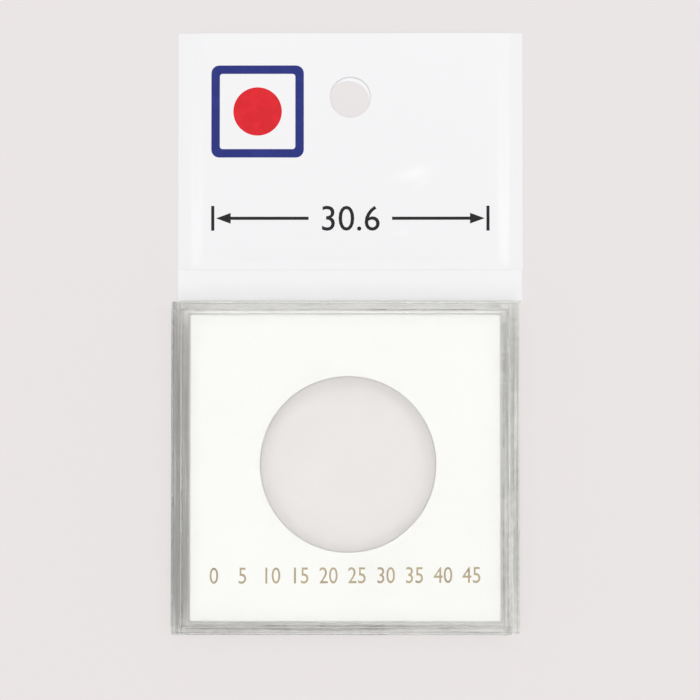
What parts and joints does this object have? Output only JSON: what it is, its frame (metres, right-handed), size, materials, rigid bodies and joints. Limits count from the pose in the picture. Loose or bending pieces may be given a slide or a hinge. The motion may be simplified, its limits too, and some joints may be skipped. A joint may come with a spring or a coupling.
{
  "type": "coin holder",
  "caption": "Clear, nearly square snap-together case round a white centre plate with a round coin hole, bonded to a folding film header with a round hang hole.",
  "frame": {"origin": "middle of the case's footprint, on the flat surface that the holder lies on", "axes": "+Z out of the clear front face, +Y from the case towards the header's hang hole, +X to the right seen from the front"},
  "size_m": [0.0618, 0.1062, 0.0069],
  "materials": {
    "cover_acrylic": "polished clear acrylic",
    "tray_acrylic": "moulded clear acrylic",
    "insert_white": "satin white sheet plastic",
    "header_film": "soft white film",
    "clear_film": "clear film",
    "adhesive": "clear pressure-sensitive adhesive"
  },
  "bodies": {
    "tray": {"back_tray": "tray_acrylic", "backing_film": "clear_film", "upper_adhesive_strip": "adhesive", "lower_adhesive_strip": "adhesive"},
    "cover": {"front_cover": "cover_acrylic"},
    "insert": {"coin_insert": "insert_white"},
    "header": {"header_front_film": "header_film", "header_back_film": "header_film"}
  },
  "joints": [
    {"name": "cover_lift", "type": "slide", "parent": "tray", "child": "cover", "axis": [0, 0, 1], "range_m": [0, 0.022]},
    {"name": "insert_lift", "type": "slide", "parent": "tray", "child": "insert", "axis": [0, 0, 1], "range_m": [0, 0.011]},
    {"name": "header_fold", "type": "hinge", "parent": "tray", "child": "header", "pos_m": [0, 0.03125, 0.0001], "axis": [1, 0, 0], "range_deg": [0, 90]}
  ],
  "couplings": [
    {"joint": "insert_lift", "follows": "cover_lift", "ratio": 0.5}
  ]
}
